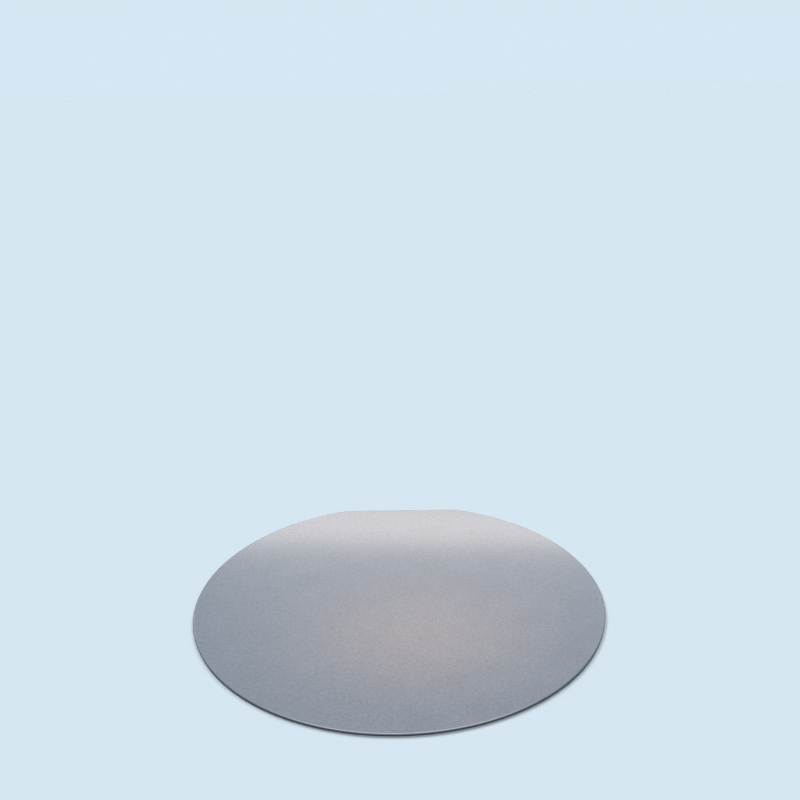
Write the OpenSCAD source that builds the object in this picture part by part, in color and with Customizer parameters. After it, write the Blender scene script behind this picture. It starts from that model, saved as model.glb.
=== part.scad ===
// Silicon wafer: one thin disc, sliced from a single crystal and ground along its whole edge.
// Lengths are in millimetres and angles in degrees.
// The origin is the centre of the round rim, on the polished face that lies downwards.
// +Z points through the thickness to the etched face, and +Y at the middle of the flat.

/* [Disc] */
// Diameter of the round rim, measured over the nose of the edge
diameter = 100; // [50:0.5:150]
// Thickness between the polished face and the etched face
thickness = 0.525; // [0.45:0.005:1]

/* [Primary flat] */
// Length of the flat, between the sharp corners that it would make with the round rim
flat_length = 32.5; // [10:0.5:45]
// Radius that eases each end of the flat into the round rim, seen from above
corner_r = 3; // [1:0.5:5]

/* [Ground edge] */
// Angle between each bevel and the face that it runs out from
bevel_angle = 22; // [15:1:30]
// Radius of the rounded nose between the two bevels, seen in section
nose_r = 0.2; // [0.1:0.01:0.22]

/* [Hidden] */
$fn = 360;

// Each round is drawn by straight faces that touch the true curve. The nose has an odd
// number of them, so that one stands upright at its tip.
nose_faces = 7;
corner_faces = 3;
etched_grey = [0.65, 0.65, 0.67];

radius = diameter / 2;
// A straight blank is this long and half as wide, so only its ground side cuts the disc
blank_length = 4 * diameter;

// The nose turns through nose_turn from one bevel to the other, and its faces meet at
// nose_reach from its centre. The bevels run off the faces of the wafer at bevel_width
// inwards from the tip of the nose.
nose_turn = 180 - 2 * bevel_angle;
nose_step = nose_turn / (nose_faces + 1);
nose_reach = nose_r / cos(nose_step / 2);
bevel_width = nose_r + (thickness / 2 * cos(bevel_angle) - nose_r) / sin(bevel_angle);

// The flat stands flat_reach from the centre of the disc. The round of each of its corners
// is centred on corner_x, corner_y and turns from the flat to the rim through corner_turn.
flat_reach = sqrt(pow(radius, 2) - pow(flat_length / 2, 2));
corner_y = flat_reach - corner_r;
corner_x = sqrt(pow(radius - corner_r, 2) - pow(corner_y, 2));
corner_turn = atan2(corner_x, corner_y);
corner_step = corner_turn / (corner_faces + 1);

// Section of ground silicon, from a plain inner end out to the tip of its nose
module ground_section(inner, outer) {
    polygon([
        [inner, 0],
        [outer - bevel_width, 0],
        for (i = [0 : nose_faces])
            let (direction = (i + 0.5) * nose_step - nose_turn / 2)
            [outer - nose_r, thickness / 2] + nose_reach * [cos(direction), sin(direction)],
        [outer - bevel_width, thickness],
        [inner, thickness]
    ]);
}

// Full disc, ground all round
module round_blank() {
    rotate_extrude() ground_section(0, radius);
}

// Straight plate whose one ground side lies along X, with its nose at y = reach
module straight_blank(reach) {
    rotate([90, 0, 90])
        linear_extrude(blank_length, center = true)
            ground_section(-blank_length / 2, reach);
}

// The disc, cut by one straight ground side at its flat and by a fan of them at each corner
module wafer() {
    color(etched_grey) intersection() {
        round_blank();
        straight_blank(flat_reach);
        intersection_for (side = [-1, 1], i = [1 : corner_faces])
            translate([side * corner_x, corner_y, 0])
                rotate([0, 0, -side * corner_step * i])
                    straight_blank(corner_r);
    }
}

wafer();
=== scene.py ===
"""A silicon wafer that lies on a pale floor, with its polished face down.

The wafer is one piece: a thin disc with one straight flat, ground to a rounded nose along
its whole edge. Sizes are in millimetres and degrees, and the finished mesh is in metres.
The origin is the centre of the round rim on the polished face, and +Y points at the flat.
"""

import logging
import math
from dataclasses import dataclass, field
from enum import Enum

import bmesh
import bpy
from mathutils import Matrix, Quaternion, Vector

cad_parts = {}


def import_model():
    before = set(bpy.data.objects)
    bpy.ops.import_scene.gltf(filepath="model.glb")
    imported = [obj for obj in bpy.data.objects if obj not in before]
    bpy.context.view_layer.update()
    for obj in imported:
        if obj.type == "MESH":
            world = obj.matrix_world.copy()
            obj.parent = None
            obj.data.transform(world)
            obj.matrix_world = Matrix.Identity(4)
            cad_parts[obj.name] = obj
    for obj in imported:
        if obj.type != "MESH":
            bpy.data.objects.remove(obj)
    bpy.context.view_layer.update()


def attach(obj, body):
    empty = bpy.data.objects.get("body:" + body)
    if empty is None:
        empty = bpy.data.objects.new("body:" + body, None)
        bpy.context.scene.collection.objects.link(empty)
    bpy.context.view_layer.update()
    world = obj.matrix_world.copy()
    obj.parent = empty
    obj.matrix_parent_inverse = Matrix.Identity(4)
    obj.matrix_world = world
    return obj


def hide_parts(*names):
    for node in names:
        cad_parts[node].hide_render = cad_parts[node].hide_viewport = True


LOG = logging.getLogger("wafer_scene")
METRES_PER_MM = 0.001
UP = (0.0, 0.0, 1.0)
WHOLE = (0.0, 1.0)
WHITE = (1.0, 1.0, 1.0)
THICKNESS = 0.525

# Where a Mix node that blends colours has its factor, its two colours and its result
MIX_FACTOR, MIX_DARK, MIX_LIGHT, MIX_RESULT = 0, 6, 7, 2

Colour = tuple[float, float, float]
Place = tuple[float, float, float]
Pair = tuple[float, float]
Socket = bpy.types.NodeSocket
Section = list[bmesh.types.BMVert | bmesh.types.BMEdge]


class Skin(Enum):
    """The three skins of the wafer. Each value is the skin's material slot."""

    ETCHED = 0
    GROUND = 1
    POLISHED = 2


class Wiring:
    """Adds nodes to one node tree and joins their sockets."""

    def __init__(self, tree: bpy.types.NodeTree) -> None:
        """Takes a node tree and empties it.

        Args:
            tree: The node tree of a material, a world, a lamp or a group.
        """
        self.tree = tree
        tree.nodes.clear()

    def node(
        self, kind: str, inputs: dict[str | int, object] | None = None, **settings: object
    ) -> bpy.types.Node:
        """Adds one node, and sets or links its inputs.

        Args:
            kind: The node's type, as Blender names it.
            inputs: A value, or the socket to link, for each input by its name or number.
            **settings: The node's own settings, such as operation.

        Returns:
            The new node.
        """
        node = self.tree.nodes.new(kind)
        for name, value in settings.items():
            setattr(node, name, value)
        for name, value in (inputs or {}).items():
            if isinstance(value, bpy.types.NodeSocket):
                self.tree.links.new(value, node.inputs[name])
            else:
                node.inputs[name].default_value = value
        return node

    def maths(
        self, operation: str, first: float | Socket, second: float | Socket = 0.0
    ) -> Socket:
        """Adds one Math node.

        Args:
            operation: What the node works out.
            first: Its first number.
            second: Its second number, where it has one.

        Returns:
            The result of the node.
        """
        inputs = {0: first, 1: second}
        return self.node("ShaderNodeMath", inputs, operation=operation).outputs["Value"]

    def span(
        self, value: Socket, given: Pair = WHOLE, wanted: Pair = WHOLE, **settings: object
    ) -> Socket:
        """Stretches a range of values over another one, and holds what lies outside it.

        Args:
            value: The value to stretch.
            given: The range of the value.
            wanted: The range it becomes.
            **settings: The node's own settings, such as interpolation_type.

        Returns:
            The stretched value.
        """
        ends = zip(("From Min", "From Max", "To Min", "To Max"), (*given, *wanted))
        inputs = {"Value": value, **dict(ends)}
        return self.node("ShaderNodeMapRange", inputs, **settings).outputs["Result"]

    def blend(self, share: float, first: Socket, second: Socket) -> Socket:
        """Blends two values.

        Args:
            share: How much of the second one shows, from 0 to 1.
            first: The first value.
            second: The second value.

        Returns:
            The blend.
        """
        inputs = {"Factor": share, "A": first, "B": second}
        return self.node("ShaderNodeMix", inputs).outputs["Result"]

    def millimetres(self, stretch: Place = (1.0, 1.0, 1.0)) -> Socket:
        """Gives the piece's own coordinates in millimetres.

        Args:
            stretch: How many times finer a pattern gets along each axis.

        Returns:
            The coordinates.
        """
        place = self.node("ShaderNodeTexCoord").outputs["Object"]
        scale = [times / METRES_PER_MM for times in stretch]
        return self.node("ShaderNodeMapping", {"Vector": place, "Scale": scale}).outputs["Vector"]


@dataclass(frozen=True)
class CrystalGrain:
    """The fine grain that breaks up every skin of the wafer.

    Attributes:
        grain_range: The part of the grain's noise that becomes a mask from 0 to 1.
        pit_range: The same for the distance from the middle of a pit.
        cloud_range: The same for the clouds' noise.
        grain_detail: How many finer layers the grain's noise has.
        cloud_detail: How many finer layers the clouds' noise has.
        pit_smoothness: How softly the pits run into each other.
        pits_in_tone: The share of the pits in the tone, the rest being grain.
        clouds_in_tone: The share of the clouds in the tone.
        clouds_in_sheen: The share of the clouds in the sheen, the rest being pits.
    """

    grain_range: Pair = (0.25, 0.75)
    pit_range: Pair = (0.15, 0.6)
    cloud_range: Pair = (0.3, 0.7)
    grain_detail: float = 1.5
    cloud_detail: float = 2.0
    pit_smoothness: float = 0.3
    pits_in_tone: float = 0.35
    clouds_in_tone: float = 0.15
    clouds_in_sheen: float = 0.4

    def build(self) -> bpy.types.NodeTree:
        """Builds the group of nodes.

        Returns:
            The group. It takes the place in millimetres and the sizes of its grains, pits and
            clouds, and puts out masks from 0 to 1: Tone, Sheen and Height.
        """
        sizes = ("Grain size", "Pit size", "Cloud size")
        group = bpy.data.node_groups.new("crystal_grain", "ShaderNodeTree")
        group.interface.new_socket("Place", in_out="INPUT", socket_type="NodeSocketVector")
        for name in sizes:
            group.interface.new_socket(name, in_out="INPUT", socket_type="NodeSocketFloat")
        for name in ("Tone", "Sheen", "Height"):
            group.interface.new_socket(name, in_out="OUTPUT", socket_type="NodeSocketFloat")
        wiring = Wiring(group)
        given = wiring.node("NodeGroupInput").outputs
        place = given["Place"]
        grains, pits, clouds = (wiring.maths("DIVIDE", 1.0, given[name]) for name in sizes)
        grain = wiring.node(
            "ShaderNodeTexNoise", {"Vector": place, "Scale": grains, "Detail": self.grain_detail}
        )
        pit = wiring.node(
            "ShaderNodeTexVoronoi",
            {"Vector": place, "Scale": pits, "Smoothness": self.pit_smoothness},
            feature="SMOOTH_F1",
        )
        cloud = wiring.node(
            "ShaderNodeTexNoise", {"Vector": place, "Scale": clouds, "Detail": self.cloud_detail}
        )
        height = wiring.span(grain.outputs["Fac"], self.grain_range)
        mist = wiring.span(cloud.outputs["Fac"], self.cloud_range)
        dents = wiring.span(pit.outputs["Distance"], self.pit_range)
        fine = wiring.blend(self.pits_in_tone, height, dents)
        tone = wiring.blend(self.clouds_in_tone, fine, mist)
        sheen = wiring.blend(self.clouds_in_sheen, dents, mist)
        wiring.node("NodeGroupOutput", {"Tone": tone, "Sheen": sheen, "Height": height})
        return group


@dataclass(frozen=True)
class Finish:
    """One skin of the wafer: grey crystal with a tone, a sheen and a relief of its own.

    Attributes:
        name: The material's name.
        dark: The darkest colour of the grain.
        light: The lightest colour of the grain.
        roughness: The least and the greatest roughness.
        grain_size: The size of the grains, in millimetres.
        pit_size: The size of the pits, in millimetres.
        cloud_size: The size of the clouds, in millimetres.
        relief: The height of the relief, in millimetres.
        metallic: How metallic the skin is, from 0 to 1.
        coat: How much of the clearer top layer there is, from 0 to 1.
        coat_roughness: The roughness of that layer.
        coat_ior: The refractive index of that layer.
    """

    name: str
    dark: Colour
    light: Colour
    roughness: Pair
    grain_size: float
    pit_size: float
    cloud_size: float
    relief: float
    metallic: float = 1.0
    coat: float = 0.0
    coat_roughness: float = 0.115
    coat_ior: float = 1.85

    def height(self, wiring: Wiring, grain: Socket) -> Socket:
        """Gives the relief as a mask from 0 to 1: here the grain alone."""
        return grain

    def add_painted_light(self, wiring: Wiring, colour: Socket) -> Socket:
        """Gives the colour of the surface with any painted shade or highlight: here the grain's
        own, with none.
        """
        return colour

    def material(self, grain: bpy.types.NodeTree) -> bpy.types.Material:
        """Builds the material.

        Args:
            grain: The group that CrystalGrain builds.

        Returns:
            The material.
        """
        made = bpy.data.materials.new(self.name)
        made.use_nodes = True
        wiring = Wiring(made.node_tree)
        masks = wiring.node(
            "ShaderNodeGroup",
            {
                "Place": wiring.millimetres(),
                "Grain size": self.grain_size,
                "Pit size": self.pit_size,
                "Cloud size": self.cloud_size,
            },
            node_tree=grain,
        )
        colour = wiring.node(
            "ShaderNodeMix",
            {
                MIX_FACTOR: masks.outputs["Tone"],
                MIX_DARK: (*self.dark, 1.0),
                MIX_LIGHT: (*self.light, 1.0),
            },
            data_type="RGBA",
        )
        bump = wiring.node(
            "ShaderNodeBump",
            {
                "Distance": self.relief * METRES_PER_MM,
                "Height": self.height(wiring, masks.outputs["Height"]),
            },
        )
        surface = wiring.node(
            "ShaderNodeBsdfPrincipled",
            {
                "Base Color": self.add_painted_light(wiring, colour.outputs[MIX_RESULT]),
                "Metallic": self.metallic,
                "Roughness": wiring.span(masks.outputs["Sheen"], wanted=self.roughness),
                "Normal": bump.outputs["Normal"],
                "Coat Weight": self.coat,
                "Coat Roughness": self.coat_roughness,
                "Coat IOR": self.coat_ior,
            },
        )
        wiring.node("ShaderNodeOutputMaterial", {"Surface": surface.outputs["BSDF"]})
        return made


@dataclass(frozen=True)
class WheelGround(Finish):
    """The edge as a grinding wheel leaves it: the grain, crossed by fine lines along it, with
    painted shade on the nose and a painted highlight on the bevels.

    Attributes:
        lines_per_mm: How many lines there are in a millimetre of height.
        wander_per_mm: How many times a line changes in a millimetre along it.
        line_share: The share of the lines in the relief, the rest being grain.
        middle: The height of the nose's tip, in millimetres.
        nose: How far over and under its tip the painted shade on the nose ends, and where the
            painted highlight on the bevels is strongest.
        painted_shade_and_highlight: What the colour is multiplied by: below 1 as painted shade on
            the nose, above 1 as a painted highlight where the bevels are brightest.
    """

    lines_per_mm: float = 40.0
    wander_per_mm: float = 0.05
    line_share: float = 0.6
    middle: float = THICKNESS / 2
    nose: Pair = (0.17, 0.26)
    painted_shade_and_highlight: Pair = (0.44, 1.35)

    def height(self, wiring: Wiring, grain: Socket) -> Socket:
        """Adds lines that keep their height over the floor, so they follow the edge.

        Args:
            wiring: The material's own wiring.
            grain: The relief of the grain.

        Returns:
            The relief of the grain and the lines.
        """
        along = wiring.millimetres((self.wander_per_mm, self.wander_per_mm, self.lines_per_mm))
        lines = wiring.node("ShaderNodeTexNoise", {"Vector": along, "Scale": 1.0}).outputs["Fac"]
        return wiring.blend(self.line_share, grain, lines)

    def add_painted_light(self, wiring: Wiring, colour: Socket) -> Socket:
        """Paints shade and highlight into the edge's colour: painted shade on the nose, a painted
        highlight on the bevels.

        Args:
            wiring: The material's own wiring.
            colour: The colour of the grain.

        Returns:
            The colour of the edge.
        """
        place = wiring.node("ShaderNodeSeparateXYZ", {"Vector": wiring.millimetres()})
        over = wiring.maths("SUBTRACT", place.outputs["Z"], self.middle)
        # Painted shade darkens the nose and a painted highlight brightens the bevels, by height
        # from the nose's tip
        share = wiring.span(wiring.maths("ABSOLUTE", over), self.nose, self.painted_shade_and_highlight)
        inputs = {"Vector": colour, "Scale": share}
        return wiring.node("ShaderNodeVectorMath", inputs, operation="SCALE").outputs["Vector"]


FINISHES: dict[Skin, Finish] = {
    Skin.ETCHED: Finish(
        name="etched_silicon",
        dark=(0.197, 0.193, 0.217),
        light=(0.311, 0.307, 0.34),
        roughness=(0.285, 0.3),
        grain_size=0.65,
        pit_size=0.45,
        cloud_size=9.0,
        relief=0.0015,
        coat=1.0,
    ),
    Skin.GROUND: WheelGround(
        name="ground_silicon",
        dark=(0.23, 0.235, 0.26),
        light=(0.305, 0.31, 0.345),
        roughness=(0.22, 0.3),
        grain_size=0.12,
        pit_size=0.08,
        cloud_size=4.0,
        relief=0.002,
    ),
    Skin.POLISHED: Finish(
        name="polished_silicon",
        dark=(0.32, 0.34, 0.38),
        light=(0.33, 0.35, 0.39),
        roughness=(0.015, 0.035),
        grain_size=6.0,
        pit_size=2.0,
        cloud_size=25.0,
        relief=0.00002,
    ),
}


@dataclass
class GroundEdge:
    """The section that runs along the whole edge: a bevel, a rounded nose and a bevel.

    Attributes:
        bevel_angle: How steeply the bevels fall away from the faces, in degrees.
        nose_radius: The radius of the nose, in millimetres.
        nose_steps: How many straight steps the nose is made of.
    """

    bevel_angle: float = 22.0
    nose_radius: float = 0.2
    nose_steps: int = 14

    def bevel_width(self, thickness: float) -> float:
        """Works out how far inwards from the tip of the nose the bevels run off the faces.

        Args:
            thickness: The distance between the two faces.

        Returns:
            That width, in millimetres.
        """
        angle = math.radians(self.bevel_angle)
        rise = thickness / 2 * math.cos(angle) - self.nose_radius
        return self.nose_radius + rise / math.sin(angle)

    def draw(self, mesh: bmesh.types.BMesh, reach: float, thickness: float) -> Section:
        """Draws the section in the XZ plane, from the lower face round to the upper face.

        Args:
            mesh: The mesh to draw in.
            reach: How far out the tip of the nose stands.
            thickness: The distance between the two faces.

        Returns:
            The points and edges of the section.
        """
        half_turn = math.radians(90.0 - self.bevel_angle)
        centre = Vector((reach - self.nose_radius, 0.0, thickness / 2))
        first = mesh.verts.new(
            centre + self.nose_radius * Vector((math.cos(half_turn), 0.0, -math.sin(half_turn)))
        )
        nose = bmesh.ops.spin(
            mesh,
            geom=[first],
            cent=centre,
            axis=(0.0, -1.0, 0.0),
            angle=2.0 * half_turn,
            steps=self.nose_steps,
        )["geom_last"]
        last = next(part for part in nose if isinstance(part, bmesh.types.BMVert))
        for tangent, height in ((first, 0.0), (last, thickness)):
            bevel = bmesh.ops.extrude_vert_indiv(mesh, verts=[tangent])["verts"][0]
            bevel.co = (reach - self.bevel_width(thickness), 0.0, height)
        return [*mesh.verts, *mesh.edges]


@dataclass
class SiliconWafer:
    """The whole wafer, as one closed mesh with three skins.

    Attributes:
        diameter: The diameter of the round rim.
        thickness: The distance between the two faces.
        flat_length: The length of the flat between the points where it would cut the rim sharply.
        corner_radius: The radius of the two corners of the flat.
        edge: The section of the edge.
        rim_steps: How many straight steps the rim is made of.
        corner_steps: How many straight steps each corner is made of.
        face_round: How far the borders between the faces and the bevels are eased.
        face_round_steps: How many steps that easing is made of.
        weld: How close to each other two points have to be to become one.
    """

    diameter: float = 100.0
    thickness: float = THICKNESS
    flat_length: float = 32.5
    corner_radius: float = 3.0
    edge: GroundEdge = field(default_factory=GroundEdge)
    rim_steps: int = 320
    corner_steps: int = 10
    face_round: float = 0.03
    face_round_steps: int = 2
    weld: float = 0.002

    def right_corner(self) -> Vector:
        """Works out where the round between the flat and the rim is, on the +X side.

        Returns:
            The centre of that round.
        """
        radius = self.diameter / 2
        reach = math.sqrt(radius**2 - (self.flat_length / 2) ** 2) - self.corner_radius
        return Vector((math.sqrt((radius - self.corner_radius) ** 2 - reach**2), reach, 0.0))

    def sweep_edge(self, mesh: bmesh.types.BMesh) -> None:
        """Carries the section round the rim, the right corner, the flat and the left corner.

        Args:
            mesh: The empty mesh to make it in.
        """
        corner = self.right_corner()
        turn = math.atan2(corner.x, corner.y)
        section = self.edge.draw(mesh, self.diameter / 2, self.thickness)
        points = [part for part in section if isinstance(part, bmesh.types.BMVert)]
        start = Matrix.Rotation(math.radians(90.0) + turn, 3, "Z")
        bmesh.ops.rotate(mesh, verts=points, cent=(0.0, 0.0, 0.0), matrix=start)
        section = self.spin(mesh, section, Vector(), 2 * math.pi - 2 * turn, self.rim_steps)
        section = self.spin(mesh, section, corner, turn, self.corner_steps)
        section = self.extrude(mesh, section, Vector((-2 * corner.x, 0.0, 0.0)))
        corner.x = -corner.x
        self.spin(mesh, section, corner, turn, self.corner_steps)
        bmesh.ops.remove_doubles(mesh, verts=mesh.verts, dist=self.weld)

    @staticmethod
    def spin(
        mesh: bmesh.types.BMesh, section: Section, centre: Vector, turn: float, steps: int
    ) -> Section:
        """Turns a section about an upright axis, leaving a wall behind it.

        Args:
            mesh: The mesh that holds the section.
            section: The section's points and edges.
            centre: A point of the axis.
            turn: The angle, in radians.
            steps: How many faces the wall has along it.

        Returns:
            The points and edges of the section where it ends.
        """
        return bmesh.ops.spin(
            mesh, geom=section, cent=centre, axis=UP, angle=turn, steps=steps
        )["geom_last"]

    @staticmethod
    def extrude(mesh: bmesh.types.BMesh, section: Section, move: Vector) -> Section:
        """Moves a section in a straight line, leaving a wall behind it.

        Args:
            mesh: The mesh that holds the section.
            section: The section's points and edges.
            move: How far it goes.

        Returns:
            The points and edges of the section where it ends.
        """
        edges = [part for part in section if isinstance(part, bmesh.types.BMEdge)]
        wall = bmesh.ops.extrude_edge_only(mesh, edges=edges)["geom"]
        points = [part for part in wall if isinstance(part, bmesh.types.BMVert)]
        bmesh.ops.translate(mesh, verts=points, vec=move)
        ends = set(points)
        last = [
            part
            for part in wall
            if isinstance(part, bmesh.types.BMEdge) and ends.issuperset(part.verts)
        ]
        return points + last

    def close_faces(self, mesh: bmesh.types.BMesh) -> None:
        """Closes the two round openings, eases their rims and gives every face its skin.

        Args:
            mesh: The mesh with the swept edge.
        """
        rims = [edge for edge in mesh.edges if edge.is_boundary]
        bmesh.ops.holes_fill(mesh, edges=rims, sides=0)
        bmesh.ops.bevel(
            mesh,
            geom=rims,
            offset=self.face_round,
            offset_type="OFFSET",
            segments=self.face_round_steps,
            profile=0.5,
            affect="EDGES",
            material=-1,
        )
        bmesh.ops.recalc_face_normals(mesh, faces=mesh.faces)
        for face in mesh.faces:
            face.smooth = True
            face.material_index = Skin.GROUND.value
        widest_two = sorted(mesh.faces, key=lambda part: part.calc_area())[-2:]
        for face in widest_two:
            face.smooth = False
            top = face.normal.z > 0
            face.material_index = (Skin.ETCHED if top else Skin.POLISHED).value

    @staticmethod
    def order_parts(mesh: bmesh.types.BMesh) -> None:
        """Puts the edges and faces in the order of their points, so that each run makes them alike.

        Args:
            mesh: The finished mesh.
        """
        mesh.verts.index_update()
        for parts in (mesh.edges, mesh.faces):
            ordered = sorted(parts, key=lambda part: sorted(point.index for point in part.verts))
            for rank, part in enumerate(ordered):
                part.index = rank
            parts.sort()

    def build(self) -> bpy.types.Object:
        """Builds the wafer's mesh.

        Returns:
            The object, at the origin and in metres.
        """
        mesh = bmesh.new()
        self.sweep_edge(mesh)
        self.close_faces(mesh)
        self.order_parts(mesh)
        bmesh.ops.scale(mesh, verts=mesh.verts, vec=(METRES_PER_MM,) * 3)
        data = bpy.data.meshes.new("silicon_wafer")
        mesh.to_mesh(data)
        mesh.free()
        wafer = bpy.data.objects.new("silicon_wafer", data)
        bpy.context.scene.collection.objects.link(wafer)
        return wafer

    def dress(self, wafer: bpy.types.Object) -> None:
        """Gives the wafer its three finishes, in the order of their slots.

        Args:
            wafer: The object that build made.
        """
        grain = CrystalGrain().build()
        for skin in Skin:
            wafer.data.materials.append(FINISHES[skin].material(grain))


def hang(data: bpy.types.Light, place: Place) -> bpy.types.Object:
    """Hangs a lamp, aimed at the wafer and hidden from the camera.

    Args:
        data: The lamp.
        place: How far round it stands, clockwise from +Y, how high over the floor, both in
            degrees, and how far away, in millimetres.

    Returns:
        The lamp's object.
    """
    round_turn, height_turn = (math.radians(angle) for angle in place[:2])
    towards = Vector((0.0, math.cos(height_turn), math.sin(height_turn)))
    towards.rotate(Quaternion(UP, -round_turn))
    lamp = bpy.data.objects.new(data.name, data)
    lamp.location = towards * place[2] * METRES_PER_MM
    lamp.rotation_euler = towards.to_track_quat("Z", "Y").to_euler()
    lamp.visible_camera = False
    bpy.context.scene.collection.objects.link(lamp)
    return lamp


@dataclass
class StripLamp:
    """A flat lamp that only gloss shows.

    Attributes:
        name: The lamp's name.
        place: Where it hangs, as in hang.
        size: Its width and height, in millimetres.
        glow: How bright it looks, where 1 is white.
        colour: The colour of its light.
        fade: How much of its half width and half height the glow takes to fade in.
    """

    name: str
    place: Place
    size: Pair
    glow: float
    colour: Colour = (1.0, 0.86, 0.75)
    fade: Pair = (0.1, 0.1)

    def fade_edges(self, data: bpy.types.AreaLight) -> None:
        """Lets the glow fade towards the lamp's ends and towards its long sides.

        Args:
            data: The lamp.
        """
        data.use_nodes = True
        wiring = Wiring(data.node_tree)
        middle = 0.5
        spot = wiring.node("ShaderNodeNewGeometry").outputs["Parametric"]
        across = wiring.node("ShaderNodeSeparateXYZ", {"Vector": spot}).outputs
        shares = [
            wiring.span(
                wiring.maths("PINGPONG", across[axis], middle),
                given=(0.0, fade * middle),
                interpolation_type="SMOOTHSTEP",
            )
            for axis, fade in zip("XY", self.fade)
        ]
        strength = wiring.maths("MULTIPLY", *shares)
        emission = wiring.node("ShaderNodeEmission", {"Strength": strength})
        wiring.node("ShaderNodeOutputLight", {"Surface": emission.outputs["Emission"]})

    def build(self) -> bpy.types.Object:
        """Hangs the lamp.

        Returns:
            The lamp's object.
        """
        data = bpy.data.lights.new(self.name, "AREA")
        data.shape = "RECTANGLE"
        data.size, data.size_y = (side * METRES_PER_MM for side in self.size)
        data.color = self.colour
        data.energy = self.glow * math.pi * data.size * data.size_y
        self.fade_edges(data)
        lamp = hang(data, self.place)
        lamp.visible_diffuse = False
        return lamp


@dataclass
class FarLamp:
    """A soft lamp far away.

    Attributes:
        name: The lamp's name.
        place: Where it hangs, as in hang.
        spread: How wide it looks, in degrees.
        level: What it adds to a white surface that faces up, where 1 is white.
        colour: The colour of its light.
        seen_in_gloss: Whether gloss shows it.
    """

    name: str
    place: Place
    spread: float
    level: float
    colour: Colour = WHITE
    seen_in_gloss: bool = True

    def build(self) -> bpy.types.Object:
        """Hangs the lamp.

        Returns:
            The lamp's object.
        """
        data = bpy.data.lights.new(self.name, "SUN")
        data.angle = math.radians(self.spread)
        data.color = self.colour
        data.energy = self.level * math.pi / math.sin(math.radians(self.place[1]))
        lamp = hang(data, self.place)
        lamp.visible_glossy = self.seen_in_gloss
        return lamp


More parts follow.
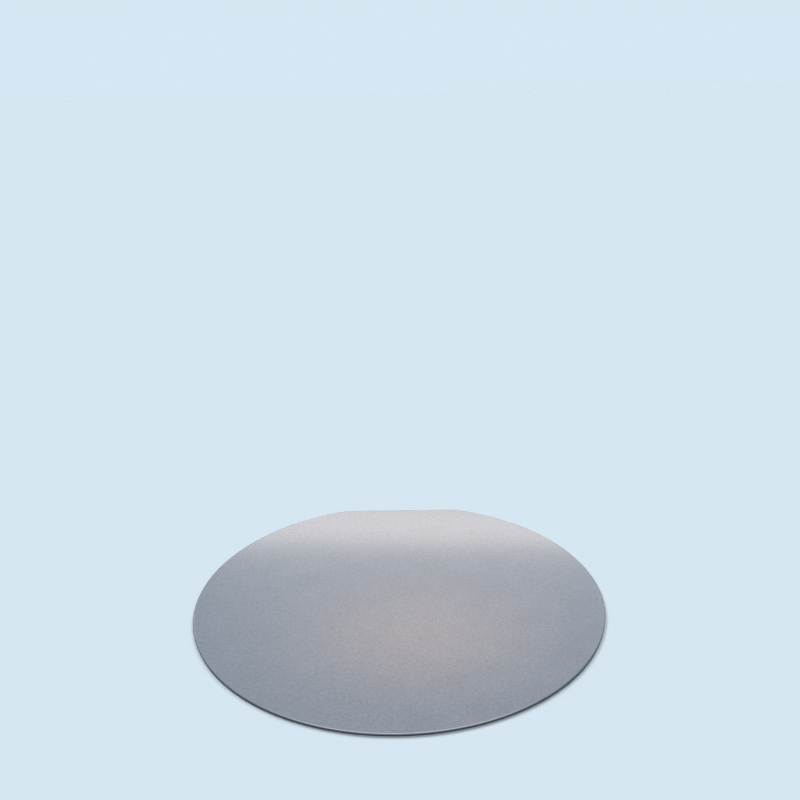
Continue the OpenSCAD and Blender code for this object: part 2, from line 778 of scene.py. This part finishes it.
@dataclass
class Studio:
    """A pale floor that meets a pale backdrop, and soft lamps.

    Attributes:
        backdrop: The colour of the floor and the backdrop.
        fill: What the world adds to a white surface, where 1 is white.
        floor_size: Half the floor's side, in millimetres.
        floor_drop: How far under the wafer the floor lies, in millimetres.
        lamps: The lamps. The levels of the fill and the far lamps add up to 1.
    """

    backdrop: Colour = (0.67, 0.80, 0.90)
    fill: float = 0.14
    floor_size: float = 5000.0
    floor_drop: float = 0.01
    lamps: tuple[StripLamp | FarLamp, ...] = (
        StripLamp("rear_strip", place=(3.0, 25.6, 500.0), size=(400.0, 35.0), glow=1.94),
        StripLamp(
            "warm_strip",
            place=(0.5, 35.6, 500.0),
            size=(310.0, 105.0),
            glow=0.83,
            colour=(1.0, 0.58, 0.33),
            fade=(1.0, 1.0),
        ),
        StripLamp(
            "left_strip", place=(-55.0, 20.5, 500.0), size=(480.0, 60.0), glow=1.6, fade=(0.6, 0.1)
        ),
        StripLamp(
            "right_strip", place=(55.0, 20.5, 500.0), size=(480.0, 60.0), glow=1.6, fade=(0.6, 0.1)
        ),
        StripLamp(
            "back_strip", place=(135.0, 11.5, 500.0), size=(480.0, 50.0), glow=0.9, fade=(0.6, 0.1)
        ),
        FarLamp(
            "top_lamp", place=(0.0, 90.0, 1000.0), spread=60.0, level=0.26, colour=(1.0, 0.98, 0.95)
        ),
        FarLamp(
            "left_key", place=(-35.0, 27.0, 1000.0), spread=20.0, level=0.36, seen_in_gloss=False
        ),
        FarLamp(
            "right_key", place=(20.0, 27.0, 1000.0), spread=20.0, level=0.24, seen_in_gloss=False
        ),
    )

    def lay_floor(self) -> bpy.types.Object:
        """Lays the floor.

        Returns:
            The floor's object.
        """
        mesh = bmesh.new()
        bmesh.ops.create_grid(
            mesh,
            x_segments=1,
            y_segments=1,
            size=self.floor_size * METRES_PER_MM,
            matrix=Matrix.Translation((0.0, 0.0, -self.floor_drop * METRES_PER_MM)),
        )
        data = bpy.data.meshes.new("floor")
        mesh.to_mesh(data)
        mesh.free()
        floor = bpy.data.objects.new("floor", data)
        bpy.context.scene.collection.objects.link(floor)
        material = bpy.data.materials.new("pale_floor")
        material.use_nodes = True
        wiring = Wiring(material.node_tree)
        surface = wiring.node("ShaderNodeBsdfDiffuse", {"Color": (*self.backdrop, 1.0)})
        wiring.node("ShaderNodeOutputMaterial", {"Surface": surface.outputs["BSDF"]})
        data.materials.append(material)
        return floor

    def hang_backdrop(self) -> None:
        """Sets a world that fills the shadows, and that camera and gloss see as the backdrop."""
        world = bpy.data.worlds.new("studio")
        world.use_nodes = True
        wiring = Wiring(world.node_tree)
        path = wiring.node("ShaderNodeLightPath").outputs
        glossy = wiring.maths("MAXIMUM", path["Is Glossy Ray"], path["Is Transmission Ray"])
        seen = wiring.maths("MAXIMUM", path["Is Camera Ray"], glossy)
        fill = wiring.node(
            "ShaderNodeBackground", {"Color": (*WHITE, 1.0), "Strength": self.fill}
        )
        backdrop = wiring.node("ShaderNodeBackground", {"Color": (*self.backdrop, 1.0)})
        mixed = wiring.node(
            "ShaderNodeMixShader",
            {0: seen, 1: fill.outputs["Background"], 2: backdrop.outputs["Background"]},
        )
        wiring.node("ShaderNodeOutputWorld", {"Surface": mixed.outputs["Shader"]})
        bpy.context.scene.world = world

    def build(self) -> bpy.types.Object:
        """Sets up the studio.

        Returns:
            The floor's object.
        """
        self.hang_backdrop()
        for lamp in self.lamps:
            lamp.build()
        return self.lay_floor()


@dataclass
class Viewpoint:
    """The camera.

    Attributes:
        place: Where it stands, in millimetres.
        aim: The point it looks at, in millimetres.
        roll: How far it is turned clockwise about its own axis, in degrees.
        lens: The focal length, in millimetres.
        sensor: The width of the sensor, in millimetres.
        clip: The nearest and the farthest that it sees, in millimetres.
    """

    place: Place = (5.14, -196.54, 123.16)
    aim: Place = (-1.47, 144.73, 0.0)
    roll: float = 1.23
    lens: float = 41.15
    sensor: float = 36.0
    clip: Pair = (10.0, 20000.0)

    def build(self) -> bpy.types.Object:
        """Sets up the camera and makes it the scene's own.

        Returns:
            The camera's object.
        """
        data = bpy.data.cameras.new("camera")
        data.lens = self.lens
        data.sensor_width = self.sensor
        data.clip_start, data.clip_end = (distance * METRES_PER_MM for distance in self.clip)
        camera = bpy.data.objects.new("camera", data)
        place = Vector(self.place) * METRES_PER_MM
        aim = Vector(self.aim) * METRES_PER_MM
        level = (aim - place).to_track_quat("-Z", "Y")
        camera.location = place
        camera.rotation_mode = "QUATERNION"
        camera.rotation_quaternion = level @ Quaternion(UP, math.radians(-self.roll))
        bpy.context.scene.collection.objects.link(camera)
        bpy.context.scene.camera = camera
        return camera


def main() -> None:
    """Builds the wafer round its frame, then the studio and the camera."""
    logging.basicConfig(level=logging.INFO, format="%(name)s: %(message)s")
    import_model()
    scene = bpy.context.scene
    scene.view_settings.view_transform = "Standard"

    plan = SiliconWafer()
    wafer = plan.build()
    plan.dress(wafer)
    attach(wafer, "root")
    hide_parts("wafer")
    LOG.info("%s: %d faces", wafer.name, len(wafer.data.polygons))

    floor = Studio().build()
    LOG.info("%s: %d faces", floor.name, len(floor.data.polygons))
    camera = Viewpoint().build()
    LOG.info("%s: lens of %.1f mm", camera.name, camera.data.lens)


if __name__ == "__main__":
    main()
